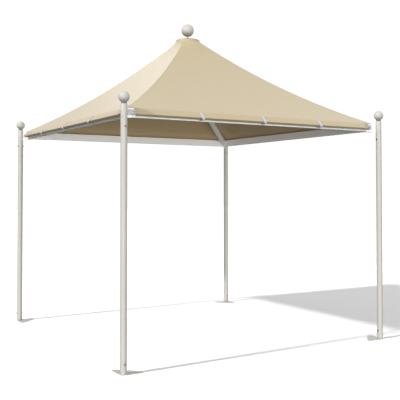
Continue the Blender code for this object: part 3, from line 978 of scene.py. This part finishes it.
hip_lines = {}
for here, tag in enumerate(("front_right", "back_right", "back_left", "front_left")):
    there = (here + 1) % 4
    rows = []
    for r in seam_levels:
        du = SEAM_HALF * min(1.0, 0.25 + (r - SEAM_END) / 0.08) / (r * DIAG)
        row = [ring_point(r, here, 1.0 - aside) for aside in (du, du / 2, 0.0)]
        rows.append(row + [ring_point(r, there, aside - 1.0) for aside in (du / 2, du)])
    hip_lines[tag] = rows
    sheet_points = []
    for i, row in enumerate(rows):
        for j, p in enumerate(row):
            lift = SEAM_PROUD if 0 < j < 4 else SEAM_PROUD * 0.8
            sheet_points.append(p + band_normal(rows, i, j) * lift)
    seam_quads = []
    seam_uvs = []
    run = 0.0
    for i in range(len(rows) - 1):
        step = (rows[i + 1][2] - rows[i][2]).length
        for j in range(4):
            a = i * 5 + j
            seam_quads.append((a, a + 1, a + 6, a + 5))
            w0 = (j - 2) * SEAM_HALF / 2
            w1 = w0 + SEAM_HALF / 2
            seam_uvs.append(((w0, run), (w1, run), (w1, run + step), (w0, run + step)))
        run += step
    seam = cloth_piece("hip_seam_" + tag, sheet_points, seam_quads, seam_uvs, sand_cloth, SEAM_PROUD * 0.9)
    keep(seam, "canopy_cloth")
print("hip seams", len(hip_lines))

# %% Crown tape
TAPE_T = 0.0009
TAPE_LIFT = 0.0001       # from the skin to the tape's inner face
TAPE_EDGE_R = 0.110
shoulder_at = (CROWN_R - SHOULDER, CROWN_TOP - SHOULDER)
tape_turn = [36.0 + 9.0 * k for k in range(7)]
tape_out = arc(*shoulder_at, SHOULDER + TAPE_T, tape_turn) + [(TAPE_EDGE_R, CROWN_TOP + TAPE_T)]
tape_in = arc(*shoulder_at, SHOULDER + TAPE_LIFT, tape_turn) + [(TAPE_EDGE_R, CROWN_TOP + TAPE_LIFT)]
tape = new_piece("crown_tape", *turned_shape(tape_out + tape_in[::-1], 128), binding_cloth, 50.0)
layer = tape.data.uv_layers.new(name="cut")
for loop in tape.data.loops:
    co = tape.data.vertices[loop.vertex_index].co
    layer.data[loop.index].uv = (math.atan2(co.y, co.x) * CROWN_R, co.z)
keep(tape, "canopy_cloth")
print("tape faces", len(tape.data.polygons))

# %% [markdown]
# ## Stitches
#
# A lockstitch shows as a row of short dashes, each sunk a little at its ends. Drawing them one
# by one would be thousands of lines of points, and a texture would vanish in the mesh. Here
# Geometry Nodes walk along each sewing line, set a point at every stitch and put one small
# spindle of twenty faces there, turned along the line. Real stitches are 4 mm long; these are
# 7 mm apart and a little thick, so that they still show.

# %% Stitch tree
STITCH_PITCH = 0.007
STITCH_HALF = 0.0026
THREAD_R = 0.00045


def new_tree(name):
    """A Geometry Nodes tree and the socket of the mesh that it is given."""
    tree = bpy.data.node_groups.new(name, "GeometryNodeTree")
    for way in ("INPUT", "OUTPUT"):
        tree.interface.new_socket(name="Mesh", in_out=way, socket_type="NodeSocketGeometry")
    return tree, add_node(tree, "NodeGroupInput").outputs[0]


def set_out(tree, spots, shape, turn, finish):
    """Put a shape on every point, turned and in its finish, and hand it out of the tree."""
    placed = add_node(tree, "GeometryNodeInstanceOnPoints", {
        "Points": spots, "Instance": shape, "Rotation": turn})
    real = add_node(tree, "GeometryNodeRealizeInstances", {0: placed.outputs[0]})
    dressed = add_node(tree, "GeometryNodeSetMaterial", {0: real.outputs[0], "Material": finish})
    add_node(tree, "NodeGroupOutput", {0: dressed.outputs[0]})


def stitch_tree(finish):
    """Lines in, a row of thread spindles out."""
    tree, lines = new_tree("stitch_rows")
    curve = add_node(tree, "GeometryNodeMeshToCurve", {0: lines})
    spots = add_node(tree, "GeometryNodeCurveToPoints", {
        "Curve": curve.outputs[0], "Length": STITCH_PITCH}, mode="LENGTH")
    spindle = add_node(tree, "GeometryNodeMeshIcoSphere", {"Radius": 1.0, "Subdivisions": 1})
    shaped = add_node(tree, "GeometryNodeTransform", {
        "Geometry": spindle.outputs[0], "Scale": (THREAD_R, THREAD_R, STITCH_HALF)})
    set_out(tree, spots.outputs["Points"], shaped.outputs[0], spots.outputs["Rotation"], finish)
    return tree


def grow(name, source_mesh, tree, smooth=60.0):
    """Run a node tree on a mesh and keep the result as a plain mesh."""
    seed = bpy.data.objects.new(name + "_seed", source_mesh)
    scene.collection.objects.link(seed)
    seed.modifiers.new("grow", "NODES").node_group = tree
    grown = bpy.data.meshes.new_from_object(seed.evaluated_get(bpy.context.evaluated_depsgraph_get()))
    bpy.data.objects.remove(seed, do_unlink=True)
    grown.name = name
    grown.shade_smooth()
    grown.set_sharp_from_angle(angle=math.radians(smooth))
    piece = bpy.data.objects.new(name, grown)
    scene.collection.objects.link(piece)
    return piece


thread_finish, thread_tree, thread_shader = new_finish("polyester_thread_sand", Roughness=0.55)
thread_place = add_node(thread_tree, "ShaderNodeTexCoord").outputs["Object"]
twist = add_node(thread_tree, "ShaderNodeTexNoise", {"Vector": thread_place, "Scale": 400.0})
join(thread_tree, thread_shader, {
    "Base Color": two_tones(thread_tree, twist.outputs[0], "AFA388", "A19676")})


# %% Sewing lines
def line_mesh(name, lines):
    """Open lines of points as one mesh of edges."""
    mesh = bpy.data.meshes.new(name)
    verts = []
    edges = []
    for line in lines:
        start = len(verts)
        verts += [tuple(p) for p in line]
        edges += [(start + i, start + i + 1) for i in range(len(line) - 1)]
    mesh.from_pydata(verts, edges, [])
    return mesh


STITCH_LIFT = 0.0001     # from the cloth to the middle of the thread
sewing_lines = []
reach = HEM_CUT - 0.004
for side in SIDES:
    place = side_place(side)
    for back in (0.006, 0.024):
        at = fold + down * (hem_length - back) + hem_normal * STITCH_LIFT
        sewing_lines.append([place(-reach + 2 * reach * k / 40, at.x, at.y) for k in range(41)])
for rows in hip_lines.values():
    for j in (1, 3):
        sewing_lines.append([
            row[j] + band_normal(rows, i, j) * (SEAM_PROUD + STITCH_LIFT) for i, row in enumerate(rows)])
for r, z in arc(*shoulder_at, SHOULDER + TAPE_T, (42.0, 80.0)):
    sewing_lines.append([(r * math.cos(a), r * math.sin(a), z) for a in turns(72) + [2.0 * math.pi]])
sewing = grow("canopy_stitches", line_mesh("sewing_lines", sewing_lines), stitch_tree(thread_finish))
keep(sewing, "canopy_cloth")
print("stitch faces", len(sewing.data.polygons))

# %% [markdown]
# ## Hook plates
#
# Where a hook holds the hem, the cloth is faced with a small pressed plate so that it can't
# tear. The plate is 46 by 40 mm with round corners, and four dome rivets hold it. The hook
# strip comes out of the beam under the hem and springs back over it.

# %% Hook plates
HOOK_SPOTS = (-0.70, 0.0, 0.70)
PLATE_HALF = 0.023
PLATE_LONG = 0.040
PLATE_BEVEL = 0.0008
RIVETS = [(-0.0186, 0.006), (0.0186, 0.006), (-0.0186, 0.034), (0.0186, 0.034)]
DOME = [(0.0030, 0.0012), (0.0030, 0.0016), (0.0024, 0.0024), (0.0013, 0.0029)]
DOME_TIP = 0.0030


def plate_outline(inset):
    """The plate's edge, as (aside, down the hem), this far inside its full size."""
    a = PLATE_HALF - inset
    b = PLATE_LONG - inset
    return round_corners([(-a, inset), (a, inset), (a, b), (-a, b)], 0.007 - inset, 6)


plate_layers = [
    (plate_outline(inset), h) for inset, h in ((0.0, 0.0002), (0.0, 0.0009), (PLATE_BEVEL, 0.0014))]
plate_top = fold + down * 0.006
for side in SIDES:
    base = side_place(side)
    for number, spot in enumerate(HOOK_SPOTS, start=1):

        def on_hem(a, b, h, base=base, spot=spot):
            """A point aside, down the hem and off the cloth, from the plate's top middle."""
            p = plate_top + down * b + hem_normal * h
            return base(spot + a, p.x, p.y)

        shapes = [stack_shape([[on_hem(a, b, h) for a, b in outline] for outline, h in plate_layers])]
        for a, b in RIVETS:
            dome = [[on_hem(a + r * math.cos(t), b + r * math.sin(t), h) for t in turns(14)] for r, h in DOME]
            shapes.append(stack_shape(dome, on_hem(a, b, DOME_TIP)))
        plate = new_piece("hem_plate_%s_%d" % (side, number), *join_shapes(*shapes), plate_coat)
        keep(plate, "hook_steel")

# %% [markdown]
# ## Corner straps
#
# The hem can't go round the corner, so a short strap of webbing is sewn to each of its ends. It
# runs to a three-cornered ring of 4 mm wire, which hangs on a pin of the corner bracket. The
# strap's end lies by the wire here; the loop that closes round it is left out. The ring is swept
# along its outline, and the strap is a flat strip along its path.

# %% Corner straps
WIRE_R = 0.002
RING_OUT = 1.4507
RING = [(1.385, 2.2365), (1.424, 2.2365), (1.4045, 2.2710)]
PIN_AT = (1.4045, 2.2662)
PIN_PROFILE = [(0.0024, -0.0022), (0.0024, 0.0030), (0.0042, 0.0030), (0.0042, 0.0046), (0.0030, 0.0054)]
STRAP_ON_HEM = (1.368, 1.379)                 # where it lies on the hem, from the side's middle
STRAP_TO_RING = [(1.3840, 1.4780, 2.2485), (1.3895, 1.4600, 2.2470), (1.3905, 1.4535, 2.2465)]
STRAP_HALF = 0.008
STRAP_T = 0.0012
webbing = woven_cloth("polyester_webbing_pale", "ACAAA4", "A4A19B", 0.1)


def swept_ring(path, radius, place, steps=10):
    """A closed wire along path, which lies in one plane; place turns (along, up, out) into a point."""
    n = len(path)
    verts = []
    for i, (a, z) in enumerate(path):
        way = (Vector(path[(i + 1) % n]) - Vector(path[i - 1])).normalized()
        for t in turns(steps):
            aside = radius * math.cos(t)
            verts.append(place(a + way.y * aside, z - way.x * aside, radius * math.sin(t)))
    faces = []
    for i in range(n):
        faces += band(i * steps, (i + 1) % n * steps, steps)
    return verts, faces


strap_seat = fold + down * 0.060 + hem_normal * 0.0016
strap_path = [Vector((along, strap_seat.x, strap_seat.y)) for along in STRAP_ON_HEM]
strap_path += [Vector(point) for point in STRAP_TO_RING]
strap_widths = [down, down] + [Vector((down.x * 0.5, down.y)).normalized()] * 2 + [Vector((0.0, -1.0))]
for side in SIDES:
    base = side_place(side)
    for hand, end in ((-1, "left"), (1, "right")):
        tag = "%s_%s" % (side, end)

        def ring_place(a, z, out, base=base, hand=hand):
            return base(hand * a, RING_OUT + out, z)

        wire = swept_ring(round_corners(RING, 0.005, 5), WIRE_R, ring_place)
        pin = stack_shape([
            [ring_place(PIN_AT[0] + r * math.cos(t), PIN_AT[1] + r * math.sin(t), out) for t in turns(16)]
            for r, out in PIN_PROFILE])
        keep(new_piece("corner_ring_" + tag, *join_shapes(wire, pin), bright_zinc, 40.0), "hook_steel")

        strap_points = []
        strap_uvs = []
        run = 0.0
        for i, (p, width) in enumerate(zip(strap_path, strap_widths)):
            if i:
                run += (p - strap_path[i - 1]).length
            for part in (-STRAP_HALF, STRAP_HALF):
                strap_points.append(base(hand * p.x, p.y + width.x * part, p.z + width.y * part))
            strap_uvs += [(run, 0.0), (run, 2 * STRAP_HALF)]
        strap_quads = [(2 * i, 2 * i + 1, 2 * i + 3, 2 * i + 2) for i in range(len(strap_path) - 1)]
        quad_list = [tuple(strap_uvs[v] for v in quad) for quad in strap_quads]
        strap = cloth_piece("corner_strap_" + tag, strap_points, strap_quads, quad_list, webbing, STRAP_T)
        strap.modifiers["cloth_thickness"].offset = 0.0
        keep(strap, "canopy_cloth")

# %% [markdown]
# ## Bolts
#
# A bolt goes right through each post at the top and at the bottom, through the stub inside.
# Two posts are drilled one way and two the other. Only what shows of a bolt is made: at each
# end a washer and a hexagon with a small dome. One node tree sets them: it reads where each one
# is and which way it faces from the points of a small mesh.

# %% Bolt tree
WASHER = (32, 0.0095, 0.0016)    # sides, radius and height
HEXAGON = (6, 0.0075, 0.0053)


def bolt_tree(finish):
    """Points with a facing in, bolt ends on washers out."""
    tree, spots = new_tree("bolt_heads")
    facing = add_node(tree, "GeometryNodeInputNamedAttribute", {"Name": "facing"}, data_type="FLOAT_VECTOR")
    turn = add_node(
        tree, "FunctionNodeAlignRotationToVector", {"Vector": facing.outputs["Attribute"]}, axis="Z")
    washer, hexagon = [add_node(tree, "GeometryNodeMeshCylinder", {
        "Vertices": sides, "Radius": radius, "Depth": tall}) for sides, radius, tall in (WASHER, HEXAGON)]
    dome = add_node(tree, "GeometryNodeMeshCone", {
        "Vertices": 24, "Radius Top": 0.0038, "Radius Bottom": 0.0056, "Depth": 0.0010})
    lifts = (WASHER[2] / 2, WASHER[2] + HEXAGON[2] / 2, WASHER[2] + HEXAGON[2])
    whole = add_node(tree, "GeometryNodeJoinGeometry")
    for shape, lift in zip((washer, hexagon, dome), lifts):
        moved = add_node(tree, "GeometryNodeTransform", {
            "Geometry": shape.outputs[0], "Translation": (0.0, 0.0, lift)})
        tree.links.new(moved.outputs[0], whole.inputs[0])
    set_out(tree, spots, whole.outputs[0], turn.outputs[0], finish)
    return tree


def spot_mesh(name, spots):
    """Loose points, each with the way that its bolt faces."""
    mesh = bpy.data.meshes.new(name)
    mesh.from_pydata([at for at, _ in spots], [], [])
    layer = mesh.attributes.new("facing", "FLOAT_VECTOR", "POINT")
    for i, (_, way) in enumerate(spots):
        layer.data[i].vector = way
    return mesh


# %% Bolts through the posts
BOLT_HEIGHTS = (0.090, 2.125)
BOLTS_ALONG_Y = ("front_left", "back_right")
BOLT_SEAT = 0.0296       # from the post's middle to the foot of the washer
post_spots = []
for tag, (px, py) in POST_CENTRES.items():
    way = (0.0, 1.0, 0.0) if tag in BOLTS_ALONG_Y else (1.0, 0.0, 0.0)
    for z in BOLT_HEIGHTS:
        for sign in (-1.0, 1.0):
            facing = tuple(sign * w for w in way)
            post_spots.append(((px + facing[0] * BOLT_SEAT, py + facing[1] * BOLT_SEAT, z), facing))
post_bolts = grow("post_bolts", spot_mesh("post_bolt_spots", post_spots), bolt_tree(dull_zinc), 30.0)
keep(post_bolts, "hook_steel")
print("bolt ends", len(post_spots))

# %% [markdown]
# ## Riding on one body
#
# Nothing on the gazebo moves, so every piece rides on the one body. The cloth was cut 3.8 m
# from one hem over the crown to the opposite one.

# %% Ride on the body
for piece in made:
    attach(piece, "root")
